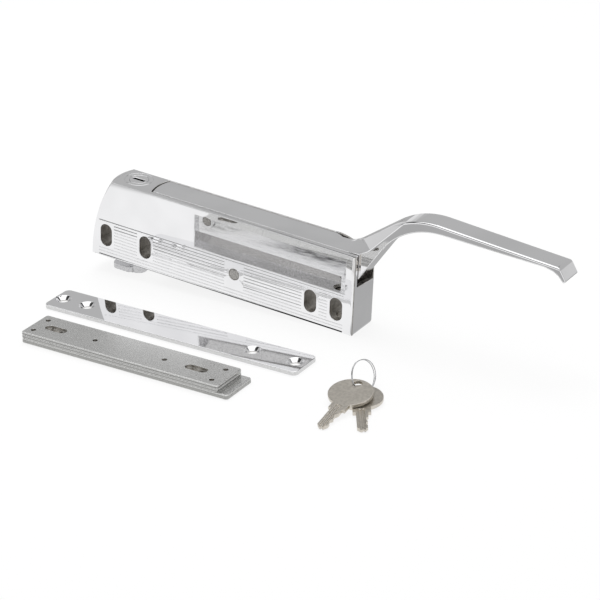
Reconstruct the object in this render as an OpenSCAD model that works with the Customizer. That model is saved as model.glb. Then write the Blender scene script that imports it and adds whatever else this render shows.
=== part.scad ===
// Magnetic edge-mount latch with lever handle, key lock, strike plate,
// armature stack and two keys on a ring, laid out on a table.
// Millimetres, +Z up. Origin: middle of the set's footprint on the table.

/* [Housing] */
// Length of the housing, nose to end face
body_len = 162; // [150:1:175]
// Width of the housing, front face to back face
body_w = 20.6; // [20:0.2:24]
// Height of the housing, magnet face to top
body_h = 44; // [43:0.5:48]
// Thickness of the front wall and its top rim
front_wall = 3.3; // [3:0.1:3.8]
// Thickness of the back wall beside the lever
back_wall = 1.2; // [1:0.1:1.6]
// Thickness of the back wall beside the magnet
magnet_back_wall = 3.3; // [2.6:0.1:3.6]
// Thickness of the end wall
end_wall = 2.6; // [2:0.1:3.2]
// Setback of the nose between bottom and top
nose_setback = 11.6; // [9:0.2:13]
// Bulge of the nose in plan
nose_bulge = 1.5; // [1:0.1:2.5]
// Radius of the lower back edge
back_edge_r = 3.2; // [2:0.2:3.2]
// Length of back rim that is cut down beside the neck
low_rim_len = 23; // [18:1:30]
// Height of the back wall where it is cut down
low_rim_z = 32.4; // [30:0.2:36]

/* [Screw slots] */
// First slot centre from the nose
slot_first_x = 10.4; // [10:0.2:12]
// Spacing of the two slots at the nose
pitch_wide = 25; // [24.6:0.1:26]
// Spacing of the two slots at the lever end
pitch_narrow = 15.2; // [14:0.1:15.4]
// Last slot centre from the end face
slot_last_gap = 9.8; // [9.4:0.1:11]
// Width of a slot
slot_w = 7.2; // [6:0.1:7.4]
// Height of a slot
slot_h = 12.5; // [11:0.1:13]
// Height of the slot centres above the magnet face
slot_z = 12.4; // [12:0.1:13]
// Wall around a slot
slot_wall = 2; // [1.6:0.1:2.2]

/* [Serrated panel] */
// Left margin of the panel
panel_left = 4.7; // [4:0.1:5]
// Right margin of the panel
panel_right = 4.6; // [4:0.1:5]
// Height of the panel
panel_h = 21.6; // [21:0.1:22]
// Pitch of the serrations
groove_pitch = 1.8; // [1.6:0.1:2]
// Depth of a serration
groove_depth = 0.4; // [0.3:0.05:0.5]
// Width of a serration
groove_w = 0.9; // [0.6:0.1:1]
// Plain margin around slots and pin
groove_margin = 1.5; // [1.2:0.1:1.8]
// Half width of the plain pad around the magnet pin
pin_pad_half = 5.8; // [5:0.1:7]

/* [Finger pocket] */
// Left end of the pocket
pocket_left = 66.5; // [62:0.5:68]
// Gap between the pocket and the end face
pocket_end_gap = 5; // [4.6:0.1:6]
// Height of the pocket floor
pocket_floor = 22.2; // [22.2:0.1:23]
// Height of the rim band above the pocket
rim_band = 3.8; // [3.5:0.1:4.5]
// Depth of the upper, shallow part of the pocket
pocket_shallow = 2; // [1.6:0.1:2]
// Depth of the pocket floor at its left end
pocket_deep = 7.2; // [6:0.1:7.5]
// Angle in plan by which the floor deepens to the right
pocket_taper = 2; // [0:0.1:2.2]
// Height of the pocket's slanted back above its floor, at the left end
pocket_slant_h = 8.2; // [7:0.1:9]
// Wall between pocket and inside
pocket_wall = 1.3; // [1.2:0.05:1.4]
// Radius of the vertical screw hole in the pocket floor
drop_hole_r = 2.3; // [2:0.1:2.5]
// Radius of its countersink
drop_sink_r = 4.1; // [4:0.1:4.3]
// Depth of the hole's axis behind the front face
drop_hole_y = 6.2; // [6.2:0.1:6.4]

/* [Lever] */
// Left end of the lever's cover plate
plate_left = 36.3; // [36:0.1:39]
// Thickness of the cover plate
plate_t = 3.2; // [2.8:0.1:3.4]
// Gap around the cover plate
plate_gap = 0.4; // [0.3:0.05:0.5]
// Gap at the plate's left end, where it swings
plate_end_gap = 0.9; // [0.8:0.1:1.2]
// Bulge in plan of the plate's left end
plate_bulge = 1.4; // [0.8:0.1:1.6]
// Width of the handle
handle_w = 13.2; // [12:0.1:13.6]
// Thickness of the handle
handle_t = 4.5; // [3.8:0.1:5]
// Pivot's distance from the nose
pivot_x = 73.3; // [72:0.1:75]
// Pivot's depth below the top
pivot_drop = 5.8; // [5.6:0.1:6.4]
// Radius of the pivot pin
pivot_pin_r = 2.5; // [2:0.1:2.7]
// Radius of the bosses around the pivot pin
pivot_boss_r = 4.1; // [3.9:0.1:4.3]
// Radial clearance of every running fit
running_gap = 0.05; // [0.03:0.01:0.08]
// Start of the neck's rise, measured from the end face
neck_start = 15.8; // [14:0.2:18]
// Slope of the neck's top
neck_angle = 37.5; // [34:0.5:40]
// Radius of the hollow where the neck leaves the plate
neck_hollow_r = 18; // [14:0.5:22]
// Length of the neck's straight stretch, along X
neck_straight = 21.3; // [16:0.1:24]
// Radius of the bend at the top of the neck
neck_bend_r = 40; // [30:1:45]
// Downward slope of the grip
grip_angle = 2.8; // [0:0.2:4]
// Length of the grip, along X
grip_len = 65.6; // [50:0.2:80]
// Length of the slanted facet at the tip
tip_facet = 7.2; // [5:0.2:9]
// Slope of the facet at the tip
tip_angle = 57; // [45:1:65]
// Slope of the neck's underside
under_angle = 57.4; // [52:0.2:60]
// Height of the neck's underside at the end face
under_z = 30.4; // [29.5:0.1:32]
// Radius of the underside's bend
under_bend_r = 38; // [30:1:42]
// Radius of the diagonal scoop in front of the neck
scoop_r = 11; // [8:0.5:14]
// Steepness of the scoop's slope
scoop_angle = 57; // [50:1:62]
// Distance of the scoop's start from the end face's front corner, along the diagonal
scoop_start = 2; // [0:0.2:4]
// Height of the notch's sill in the end wall
notch_z = 26.2; // [25.5:0.1:27]

/* [Heel and spring] */
// Gap between the bay's left wall and the lever's heel
heel_gap = 2; // [1.5:0.1:2.5]
// Length of the heel along X
heel_len = 6; // [5:0.2:6.2]
// Height of the kick pad's sole above the magnet face
heel_sole_z = 1.2; // [1:0.1:3]
// Thickness of the kick pad's sole
pad_t = 2; // [1.5:0.1:3]
// Spring centre from the nose
spring_x = 60; // [59:0.2:61]
// Outer radius of the return spring
spring_r = 3; // [2.6:0.1:3.2]
// Radius of the spring wire
spring_wire_r = 0.4; // [0.3:0.05:0.5]
// Number of spring turns
spring_turns = 6; // [5:1:8]
// Top of the spring's seat in the housing
spring_seat_z = 24; // [22:0.5:26]

/* [Magnet pack] */
// Gap left of the magnet pack, where the kick arm swings
pack_left_gap = 18; // [17:0.5:20]
// Gap right of the magnet pack
pack_right_gap = 8.4; // [6:0.2:10]
// Height of the pole plates
pole_h = 19.2; // [18.8:0.1:19.4]
// Thickness of a pole plate
pole_t = 1.6; // [1.4:0.1:1.8]
// Thickness of the magnet block
magnet_t = 9; // [8:0.2:9.4]
// Height of the magnet block
magnet_h = 17; // [16:0.2:17.2]
// How far the pole plates stand out of the housing
pole_out = 0.4; // [0:0.1:0.8]
// Radius of the magnet pin
magnet_pin_r = 3; // [2.6:0.1:3.2]
// Magnet pin's height above the magnet face
magnet_pin_z = 13.5; // [13:0.1:14]
// Wall of the bush on the magnet pin
bush_wall = 0.8; // [0.6:0.1:0.9]
// Radius of a pack rivet
rivet_r = 1.2; // [1:0.1:1.4]

/* [Lock] */
// Lock axis from the nose
lock_x = 23.2; // [23:0.1:23.6]
// Lock axis from the front face
lock_y = 11.6; // [11.2:0.1:11.8]
// Radius of the lock barrel
lock_r = 7.5; // [7:0.1:7.6]
// Radius of the plug that the key turns
plug_r = 5; // [4.6:0.1:5.4]
// Length of the barrel
barrel_len = 24; // [22:0.2:24]
// Radius of the rotor's tail
tail_r = 3.5; // [3:0.1:3.8]
// Length of the key slot
keyway_len = 7; // [6.8:0.1:8.6]
// Width of the key slot
keyway_w = 2; // [2:0.1:2.2]
// How far the cam's hub stands below the magnet face
cam_drop = 8.6; // [7:0.1:9]
// Radius of the cam's hub
cam_hub_r = 4.95; // [4.6:0.05:5.2]
// Reach of the cam's tongue from the lock axis
cam_reach = 12.6; // [11:0.1:13]
// Width of the cam's tongue
cam_w = 14; // [10:0.2:14]
// Thickness of the cam's tongue
cam_t = 3.2; // [2.5:0.1:3.5]
// Side of the square on the rotor's tail
square_side = 4.6; // [4:0.1:4.8]

/* [Strike and armature] */
// Last strike hole from the plate's right end
strike_end_gap = 6.6; // [5:0.1:8]
// Thickness of the strike plate
strike_t = 2.5; // [2:0.1:3]
// First strike hole from the plate's left end
strike_first_x = 5.2; // [5:0.1:6]
// Radius of a strike hole
strike_hole_r = 2.4; // [2:0.1:2.6]
// Radius of a strike countersink
strike_sink_r = 4.3; // [4:0.1:4.5]
// Length of the armature plate
arm_len = 118.4; // [112:0.2:124]
// Width of the armature plate
arm_w = 21.8; // [20:0.2:24]
// Thickness of the armature plate
arm_t = 1.8; // [1.5:0.1:2.2]
// Thickness of the spacer shim
shim_t = 1.7; // [1:0.1:2]
// Thickness of the base plate
base_t = 2.7; // [2:0.1:3]
// How much longer the base plate is
base_extra = 5.6; // [3:0.2:8]
// Last adjusting slot's centre from the right end
arm_slot_end_gap = 19.3; // [18:0.1:21]
// Length of an adjusting slot
arm_slot_len = 12.6; // [11:0.2:14]
// Half width of an adjusting slot
arm_slot_r = 2.4; // [2.1:0.1:2.6]
// First adjusting slot's centre from the left end
arm_slot_x = 13.9; // [13.5:0.1:15]
// Radius of the small holes
pilot_r = 1.3; // [1:0.1:1.5]
// Corner holes' distance from the left end
pilot_x = 4.3; // [3.5:0.1:5]
// Corner holes' distance from the right end
pilot_end_gap = 6.3; // [5:0.1:8]
// Distance between the corner holes along Y
pilot_pitch_y = 12.2; // [11:0.2:14]
// Distance between the two middle holes
pilot_mid_pitch = 42; // [36:0.5:46]

/* [Keys] */
// Radius of a key's bow
bow_r = 11; // [10:0.2:12]
// Thickness of a key
key_t = 1.8; // [1.6:0.05:1.8]
// Length of a key's blade beyond the bow
blade_len = 19.5; // [18:0.5:24]
// Width of a key's blade
blade_w = 5.8; // [5.4:0.1:6.6]
// Radius of the hole in a bow
bow_hole_r = 2.35; // [2.3:0.01:2.4]
// Hole's distance from the bow's centre
bow_hole_y = 7.3; // [7.2:0.02:7.4]
// Radius of the ring, to the middle of the wire
ring_r = 7.8; // [7.75:0.01:7.85]
// Radius of the ring's wire
ring_wire_r = 0.45; // [0.4:0.01:0.47]

/* [Layout on the table] */
// Front edge of the housing to the middle of the strike plate
strike_y = 41; // [38:0.5:46]
// Left end of the strike plate from the housing's left end
strike_x = 7.8; // [0:0.2:12]
// Front edge of the housing to the middle of the armature stack
arm_y = 77.3; // [72:0.5:84]
// Left end of the armature stack from the housing's left end
arm_x = 22.2; // [16:0.2:30]
// Front key's bow centre from the housing's left end
key_x = 198; // [185:0.5:215]
// Front key's bow centre in front of the housing
key_y = 59.5; // [50:0.5:64]
// Front key's heading in plan
key_front_turn = 4; // [2:0.5:6]
// Back key's heading in plan
key_back_turn = 33.5; // [31:0.5:36]
// Back key's bow centre to the right of the front key's
key_back_dx = 3.7; // [3.6:0.05:3.8]
// Back key's bow centre behind the front key's
key_back_dy = 2.5; // [2.4:0.05:2.6]

/* [Hidden] */

// The latch stands on its cam hub and its far bottom edge
rest_tilt = atan(cam_drop / (body_len - lock_x - cam_hub_r));
// Lowest and highest X of the set, then Y
x_min = min(body_len * (1 - cos(rest_tilt)), strike_x, arm_x);
y_max = body_w;

// Nose: a barrel-shaped face, bulged in height and in plan
half_w = body_w / 2;
nose_r = (body_h * body_h + nose_setback * nose_setback) / (2 * nose_setback);
nose_plan_r = (half_w * half_w + nose_bulge * nose_bulge) / (2 * nose_bulge);
nose_zone = 20;

slot1_x = slot_first_x;
slot2_x = slot1_x + pitch_wide;
slot4_x = body_len - slot_last_gap;
slot3_x = slot4_x - pitch_narrow;
pitch_mid = slot3_x - slot2_x;
slot_r = slot_w / 2;
slot_low = slot_z - slot_h / 2;
slot_high = slot_z + slot_h / 2;

// Inside of the housing
lock_seat_z = body_h - barrel_len;
cover_front = front_wall + plate_gap;
cover_back = body_w - back_wall - plate_gap;
cover_w = cover_back - cover_front;
plate_end_r = (cover_w * cover_w / 4 + plate_bulge * plate_bulge) / (2 * plate_bulge);
plate_under = body_h - plate_t;
cavity_floor = 20.4;
cavity_left = plate_left + plate_bulge - 0.2;
cavity_right = body_len - end_wall;
bay_left = slot2_x + slot_r + slot_wall;
bay_right = slot3_x - slot_r - slot_wall;
bay_back = body_w - magnet_back_wall;
pocket_right = body_len - pocket_end_gap;
pocket_top = body_h - rim_band;
undercut_right = pocket_right - 3.5;
pivot_z = body_h - pivot_drop;

// Lever's side profile, all from the top of the plate
crest_dx = neck_bend_r * sin(neck_angle);
hollow_x = body_len - neck_start;
hollow_end_x = hollow_x + neck_hollow_r * sin(neck_angle);
hollow_end_z = body_h + neck_hollow_r * (1 - cos(neck_angle));
slope_end_x = hollow_end_x + neck_straight;
slope_end_z = hollow_end_z + neck_straight * tan(neck_angle);
bend_cx = slope_end_x + crest_dx;
bend_cz = slope_end_z - neck_bend_r * cos(neck_angle);
grip_x = bend_cx + neck_bend_r * sin(grip_angle);
grip_z = bend_cz + neck_bend_r * cos(grip_angle);
crease_x = grip_x + grip_len;
crease_z = grip_z - grip_len * tan(grip_angle);
tip_x = crease_x + tip_facet * cos(tip_angle);
tip_z = crease_z - tip_facet * sin(tip_angle);
bend_turn = (neck_angle + grip_angle) / 2;
bend_vx = slope_end_x + neck_bend_r * tan(bend_turn) * cos(neck_angle);
bend_vz = slope_end_z + neck_bend_r * tan(bend_turn) * sin(neck_angle);
// Underside
under_cz = bend_cz + neck_bend_r - handle_t - under_bend_r;
under_run = (under_cz - under_z + under_bend_r * cos(under_angle)) / sin(under_angle);
under_ax = body_len + under_run * cos(under_angle);
under_az = under_z + under_run * sin(under_angle);
under_cx = under_ax + under_bend_r * sin(under_angle);
under_vx = under_ax + under_bend_r * tan(under_angle / 2) * cos(under_angle);
under_top = under_cz + under_bend_r;
lip_x = crease_x - 8;
lip_z = under_top - 0.4;
lip_drop = lip_z - tip_z;

// Highest X: the tip of the handle at rest
x_max = body_len + (tip_x - body_len) * cos(rest_tilt) + tip_z * sin(rest_tilt);

// Scoop, measured along the diagonal
scoop_u = body_len * sqrt(0.5) - scoop_start;
scoop_du = scoop_r * sin(scoop_angle);
scoop_dz = scoop_r * (1 - cos(scoop_angle));
scoop_vu = scoop_r * tan(scoop_angle / 2);

// Magnet pack
pack_w = magnet_t + 2 * pole_t;
pack_len = bay_right - bay_left - pack_left_gap - pack_right_gap;
magnet_pin_x = bay_left + pack_left_gap + pack_len / 2;
pack_y = (front_wall + bay_back) / 2 - pack_w / 2;
pole_z = -pole_out;
magnet_z = pole_z + (pole_h - magnet_h) - 0.4;
bush_r = magnet_pin_r + running_gap + bush_wall;
rivet_dx = pack_len / 2 - 8;
rivet_z = pole_z + pole_h / 2;

// Lever inside
hub_r = 5;
rib_w = 3.5;
rib_front = cover_back - 2.1 - rib_w;
rib_z = pivot_z - 6.4;
rib_left = pivot_x - 6;
rib_right = body_len - 4;
heel_x = bay_left + heel_gap;
heel_w = 10;
heel_y = 6;
heel_z = heel_sole_z + pad_t;
stud_r = 1.6;
stud_len = 4;
spring_y = 9.5;
spring_len = plate_under - spring_seat_z;
post_x = body_len - 22;
post_len = 9;
bumper_t = 2;
post_top = rib_z - bumper_t;

// Lock
web_t = 2.4;
plug_z = lock_seat_z + web_t;
keyway_z = plug_z + 1.6;
cam_z = -cam_drop;
cam_h = cam_drop - 0.6;
screw_sink_r = 3.6;
screw_sink_h = 2.2;
wafer_x = 8.4;
wafer_y = 5.2;
wafer_t = 0.8;
wafer_pitch = 2.8;
wafer_first_z = keyway_z + 2;
clip_t = 0.8;
tail_bore_r = tail_r + 2;

// Loose plates
strike_holes = [strike_first_x, strike_first_x + pitch_narrow,
    strike_first_x + pitch_narrow + pitch_mid,
    strike_first_x + pitch_narrow + pitch_mid + pitch_wide];
strike_len = strike_holes[3] + strike_end_gap;
slot_a = arm_slot_x;
slot_b = arm_len - arm_slot_end_gap;
pilot_pitch_x = arm_len - pilot_x - pilot_end_gap;
hole_shift = 3;
pilot_mid_x = arm_len / 2 - pilot_mid_pitch / 2;

// Keys
key_tip = bow_r + blade_len;
key_reach = bow_r + 9.5;
key_back_tilt = asin((2 * ring_wire_r + 0.55) / (key_tip + bow_hole_y));
key_tilt = asin((key_t / cos(key_back_tilt) + 0.05) / key_reach) + key_back_tilt;
ring_dx = -1.1;
ring_dy = 13.1;
ring_turn = 82.3;
ring_lean = 20.3;
// Lowest Y: the front key's tip or the armature stack
key_y_end = -key_y - key_tip * cos(key_front_turn) + (2.2 / 7.4 - 0.5) * blade_w * sin(key_front_turn)
    - key_t * sin(key_tilt) * cos(key_front_turn);
y_min = min(-arm_y - arm_w / 2, key_y_end);

module obround_slot(x, r, low, high, depth) {
    translate([x, -1, 0])
    rotate([-90, 0, 0])
    linear_extrude(depth + 2) {
        translate([-r, -(high - r)]) square([2 * r, high - low - 2 * r]);
        translate([0, -(high - r)]) circle(r, $fn = 48);
        translate([0, -(low + r)]) circle(r, $fn = 48);
    }
}

// Corner piece: the triangle between two tangent points and their corner,
// less the circle that rounds it, with a margin on the corner's side
module corner(ax, ay, vx, vy, bx, by, cx, cy, r) {
    g = 0.3 / r;
    difference() {
        polygon([[ax + (ax - cx) * g, ay + (ay - cy) * g],
            [vx + (vx - cx) * g, vy + (vy - cy) * g],
            [bx + (bx - cx) * g, by + (by - cy) * g]]);
        translate([cx, cy]) circle(r, $fn = 180);
    }
}

module side_extrude(y0, w) {
    translate([0, y0 + w, 0]) rotate([90, 0, 0]) linear_extrude(w) children();
}

module pin_y(x, z, r, y0, y1) {
    translate([x, y0, z]) rotate([-90, 0, 0]) cylinder(r = r, h = y1 - y0, $fn = 64);
}

module at_rest() {
    translate([body_len, 0, 0]) rotate([0, rest_tilt, 0]) translate([-body_len, 0, 0]) children();
}

module on_table() {
    translate([-(x_min + x_max) / 2, -(y_min + y_max) / 2, 0]) children();
}

// Housing

module nose_shape() {
    translate([nose_plan_r, half_w, 0])
    rotate_extrude($fn = 180)
    intersection() {
        translate([nose_plan_r - nose_r, 0]) circle(nose_r, $fn = 360);
        square([nose_plan_r, body_h]);
    }
}

module outer_shape() {
    intersection() {
        union() {
            nose_shape();
            translate([nose_zone, 0, 0]) cube([body_len - nose_zone, body_w, body_h]);
        }
        translate([-1, 0, 0])
        rotate([90, 0, 90])
        linear_extrude(body_len + 1) {
            square([body_w - back_edge_r, body_h]);
            translate([0, back_edge_r]) square([body_w, body_h - back_edge_r]);
            translate([body_w - back_edge_r, back_edge_r]) circle(back_edge_r, $fn = 48);
        }
        linear_extrude(body_h) {
            square([body_len - 1.5, body_w]);
            translate([0, 1.5]) square([body_len, body_w - 3]);
            translate([body_len - 1.5, 1.5]) circle(1.5, $fn = 48);
            translate([body_len - 1.5, body_w - 1.5]) circle(1.5, $fn = 48);
        }
    }
}

module cavity_shape() {
    translate([cavity_left, front_wall, cavity_floor])
    cube([cavity_right - cavity_left, body_w - front_wall - back_wall, body_h]);
    translate([0, 0, cavity_floor])
    linear_extrude(body_h)
    intersection() {
        translate([plate_left - plate_end_gap - 1, front_wall])
        square([plate_end_r, body_w - front_wall - back_wall]);
        translate([plate_left + plate_end_r, (cover_front + cover_back) / 2])
        circle(plate_end_r + plate_end_gap, $fn = 180);
    }
    translate([bay_left, front_wall, -1])
    cube([bay_right - bay_left, bay_back - front_wall, cavity_floor + 2]);
}

module pocket_upper(grow) {
    translate([pocket_left - grow, -1, pocket_floor - grow])
    cube([pocket_right - pocket_left + 2 * grow, pocket_shallow + 1 + grow,
        pocket_top - pocket_floor + 2 * grow]);
}

// Slanted prism under the finger pocket, turned in plan so that it deepens
module pocket_under(grow) {
    translate([pocket_left, 0, 0])
    rotate([0, 0, pocket_taper])
    translate([-grow, 0, 0])
    rotate([90, 0, 90])
    linear_extrude((undercut_right - pocket_left) / cos(pocket_taper) + 2 * grow)
    polygon([[-8, pocket_floor - grow], [pocket_deep + grow, pocket_floor - grow],
        [pocket_shallow + grow, pocket_floor + pocket_slant_h + grow],
        [-8, pocket_floor + pocket_slant_h + grow]]);
}

module groove_run(x0, x1, first, last) {
    rotate([90, 0, 90])
    translate([0, 0, x0])
    linear_extrude(x1 - x0)
    for (i = [first : last])
        polygon([[-0.1, 0.9 + i * groove_pitch - groove_w / 2],
            [groove_depth, 0.9 + i * groove_pitch - 0.1],
            [groove_depth, 0.9 + i * groove_pitch + 0.1],
            [-0.1, 0.9 + i * groove_pitch + groove_w / 2]]);
}

module grooves() {
    low = floor((slot_low - groove_margin - 0.9) / groove_pitch);
    high = ceil((slot_high + groove_margin - 0.9) / groove_pitch);
    left = panel_left + 1;
    right = body_len - panel_right - 1;
    reach = slot_r + groove_margin;
    groove_run(left, right, 0, low);
    groove_run(left, right, high, floor((panel_h - 0.7) / groove_pitch));
    groove_run(slot1_x + reach, slot2_x - reach, low + 1, high - 1);
    groove_run(slot2_x + reach, magnet_pin_x - pin_pad_half, low + 1, high - 1);
    groove_run(magnet_pin_x + pin_pad_half, slot3_x - reach, low + 1, high - 1);
    groove_run(slot3_x + reach, slot4_x - reach, low + 1, high - 1);
}

module housing() {
    color("silver")
    at_rest()
    difference() {
        union() {
            difference() {
                outer_shape();
                cavity_shape();
            }
            // Lining of the finger pocket
            intersection() {
                union() {
                    pocket_upper(pocket_wall);
                    pocket_under(pocket_wall);
                }
                translate([nose_zone, 1, cavity_floor - 1])
                cube([body_len - nose_zone - 1, bay_back, body_h - cavity_floor - plate_t]);
            }
            // Seat of the return spring
            translate([spring_x - 4.5, front_wall - 1, cavity_floor + 0.2])
            cube([9, body_w - front_wall - back_wall + 1.5, spring_seat_z - cavity_floor - 0.2]);
            // Post of the rest bumper
            translate([post_x, rib_front - 0.2, cavity_floor - 1])
            cube([post_len, body_w - back_wall - rib_front + 0.7, post_top - cavity_floor + 1]);
            // Pivot boss in the finger pocket
            pin_y(pivot_x, pivot_z, pivot_boss_r, pocket_shallow - 1.2, front_wall);
        }
        pocket_cut();
        for (x = [slot1_x, slot2_x, slot3_x, slot4_x])
            obround_slot(x, slot_r, slot_low, slot_high, body_w);
        pin_y(pivot_x, pivot_z, pivot_pin_r, -1, body_w + 1);
        pin_y(magnet_pin_x, magnet_pin_z, magnet_pin_r, -1, body_w + 1);
        // Lock bore and the passage of its tail
        translate([lock_x, lock_y, lock_seat_z]) cylinder(r = lock_r, h = body_h, $fn = 96);
        translate([lock_x, lock_y, -1]) cylinder(r = tail_bore_r, h = body_h, $fn = 64);
        // Screw hole in the pocket floor
        translate([slot4_x - 0.8, drop_hole_y, -1]) cylinder(r = drop_hole_r, h = body_h / 2 + 6, $fn = 48);
        translate([slot4_x - 0.8, drop_hole_y, pocket_floor - (drop_sink_r - drop_hole_r)])
        cylinder(r1 = drop_hole_r, r2 = drop_sink_r + 0.3, h = drop_sink_r - drop_hole_r + 0.3, $fn = 64);
        grooves();
        // Opening of the end wall for the neck
        translate([body_len - end_wall - 1, 0, 0])
        rotate([90, 0, 90])
        linear_extrude(end_wall + 2)
        polygon([[front_wall, notch_z], [body_w - back_wall, notch_z - 1.4],
            [body_w - back_wall, body_h + 1], [front_wall, body_h + 1]]);
        // Cut-down back rim
        low_rim();
    }
}

module low_rim() {
    drop = body_h - low_rim_z;
    r = (low_rim_len * low_rim_len + drop * drop) / (2 * drop);
    side_extrude(body_w - back_wall, back_wall + 1)
    difference() {
        translate([body_len - low_rim_len, body_h - drop]) square([low_rim_len + 1, drop + 1]);
        translate([body_len - low_rim_len, body_h - r]) circle(r, $fn = 180);
    }
}

module pocket_cut() {
    difference() {
        union() {
            pocket_upper(0);
            intersection() {
                pocket_under(0);
                translate([pocket_left, -1, pocket_floor])
                cube([undercut_right - pocket_left, bay_back, pocket_top]);
            }
        }
        pin_y(pivot_x, pivot_z, pivot_boss_r, pocket_shallow - 1.2, front_wall);
    }
}

module lever_pin() {
    color("gray")
    at_rest()
    pin_y(pivot_x, pivot_z, pivot_pin_r, pocket_shallow - 1.2, body_w);
}

module magnet_pin() {
    color("gray")
    at_rest()
    pin_y(magnet_pin_x, magnet_pin_z, magnet_pin_r, 0, body_w);
}

module lock_barrel() {
    color("silver")
    at_rest()
    difference() {
        translate([lock_x, lock_y, lock_seat_z]) cylinder(r = lock_r, h = barrel_len, $fn = 96);
        translate([lock_x, lock_y, plug_z]) cylinder(r = plug_r + running_gap, h = body_h, $fn = 96);
        translate([lock_x, lock_y, 0]) cylinder(r = tail_r + running_gap, h = body_h, $fn = 64);
    }
}

// Return spring: one wire as a closed tube along a helix
module return_spring() {
    turns = spring_turns;
    steps = 24 * turns;
    sides = 10;
    coil_r = spring_r - spring_wire_r;
    rise = spring_len - 2 * spring_wire_r;
    points = [for (i = [0 : steps]) for (j = [0 : sides - 1])
        let (a = 360 * i * turns / steps, b = 360 * j / sides, s = i / steps,
            r = coil_r + spring_wire_r * cos(b))
        [r * cos(a), r * sin(a), spring_wire_r + rise * s + spring_wire_r * sin(b)]];
    tube = [for (i = [0 : steps - 1]) for (j = [0 : sides - 1])
        [i * sides + j, (i + 1) * sides + j, (i + 1) * sides + (j + 1) % sides, i * sides + (j + 1) % sides]];
    start = [for (j = [0 : sides - 1]) j];
    finish = [for (j = [0 : sides - 1]) steps * sides + sides - 1 - j];
    color("gray")
    at_rest()
    translate([spring_x, spring_y, spring_seat_z])
    polyhedron(points, concat(tube, [start], [finish]));
}

module rest_bumper() {
    color("dimgray")
    at_rest()
    translate([post_x + 1, rib_front, post_top]) cube([post_len - 2, rib_w, bumper_t]);
}

// Lever

module cover_plan() {
    mid = (cover_front + cover_back) / 2;
    back_r = 9;
    back_x = body_len - 14.5;
    intersection() {
        translate([plate_left, cover_front]) square([back_x - plate_left, cover_w]);
        translate([plate_left + plate_end_r, mid]) circle(plate_end_r, $fn = 180);
    }
    difference() {
        translate([plate_left + plate_end_r - 0.1, cover_front])
        square([back_x - plate_left - plate_end_r + 0.1, cover_w]);
        difference() {
            translate([back_x - back_r, cover_back - back_r]) square([back_r + 1, back_r + 1]);
            translate([back_x - back_r, cover_back - back_r]) circle(back_r, $fn = 96);
        }
    }
    translate([back_x - 12, cover_front]) square([12 + 6, handle_w]);
}

module neck_solid() {
    low = under_z - 5;
    difference() {
        union() {
            side_extrude(cover_front, handle_w)
            polygon([[hollow_x - 0.1, body_h], [hollow_x - 0.1, plate_under],
                [body_len - 9, plate_under], [body_len - 3.6, under_z - 0.2],
                [body_len, under_z], [body_len, low], [tip_x - 1.3, low],
                [tip_x - 1.3, tip_z - 1.2], [tip_x, tip_z],
                [crease_x, crease_z], [bend_vx, bend_vz],
                [hollow_end_x, hollow_end_z],
                [hollow_x + neck_hollow_r * tan(neck_angle / 2), body_h]]);
            side_extrude(cover_front, handle_w)
            corner(hollow_x, body_h, hollow_x + neck_hollow_r * tan(neck_angle / 2), body_h,
                hollow_end_x, hollow_end_z, hollow_x, body_h + neck_hollow_r, neck_hollow_r);
        }
        side_extrude(cover_front - 1, handle_w + 2)
        corner(slope_end_x, slope_end_z, bend_vx, bend_vz, grip_x, grip_z,
            bend_cx, bend_cz, neck_bend_r);
        // Room for the fingers under the handle
        side_extrude(cover_front - 1, handle_w + 2)
        difference() {
            polygon([[body_len, under_z], [under_vx, under_top], [under_cx, under_top],
                [lip_x, lip_z], [crease_x - 3.5, lip_z - lip_drop * 0.2],
                [tip_x - 4.5, lip_z - lip_drop * 0.55], [tip_x - 1.3, tip_z - 1.2],
                [tip_x + 5, tip_z - 1.2], [tip_x + 5, low - 1], [body_len, low - 1]]);
            corner(under_ax, under_az, under_vx, under_top, under_cx, under_top,
                under_cx, under_cz, under_bend_r);
        }
        scoop_cut();
    }
}

module scoop_cut() {
    reach = 60;
    rotate([0, 0, 45])
    rotate([90, 0, 0])
    linear_extrude(body_len)
    difference() {
        polygon([[scoop_u - 40, body_h], [scoop_u + scoop_vu, body_h],
            [scoop_u + scoop_du + reach * cos(scoop_angle), body_h + scoop_dz + reach * sin(scoop_angle)],
            [scoop_u - 40, body_h + 90]]);
        corner(scoop_u, body_h, scoop_u + scoop_vu, body_h, scoop_u + scoop_du, body_h + scoop_dz,
            scoop_u, body_h + scoop_r, scoop_r);
    }
}

module lever() {
    color("silver")
    at_rest()
    difference() {
        union() {
            translate([0, 0, plate_under]) linear_extrude(plate_t) cover_plan();
            neck_solid();
            pin_y(pivot_x, pivot_z, hub_r, cover_front, cover_back);
            translate([rib_left, rib_front, rib_z])
            cube([rib_right - rib_left, rib_w, plate_under - rib_z + 0.5]);
            translate([heel_x, heel_y, heel_z])
            cube([heel_len, heel_w, plate_under - heel_z + 0.5]);
        }
        pin_y(pivot_x, pivot_z, pivot_pin_r + running_gap, 0, body_w);
        translate([heel_x + heel_len / 2, heel_y + heel_w / 2, heel_z - 1])
        cylinder(r = stud_r, h = stud_len + 1, $fn = 32);
    }
}

module kick_pad() {
    color("dimgray")
    at_rest() {
        translate([heel_x, heel_y, heel_sole_z]) cube([heel_len, heel_w, pad_t]);
        translate([heel_x + heel_len / 2, heel_y + heel_w / 2, heel_z - 0.5])
        cylinder(r = stud_r, h = stud_len + 0.5, $fn = 32);
    }
}

// Magnet pack

module pack_holes() {
    pin_y(magnet_pin_x, magnet_pin_z, bush_r, 0, body_w);
    for (s = [-1, 1])
        pin_y(magnet_pin_x + s * rivet_dx, rivet_z, rivet_r, 0, body_w);
}

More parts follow.
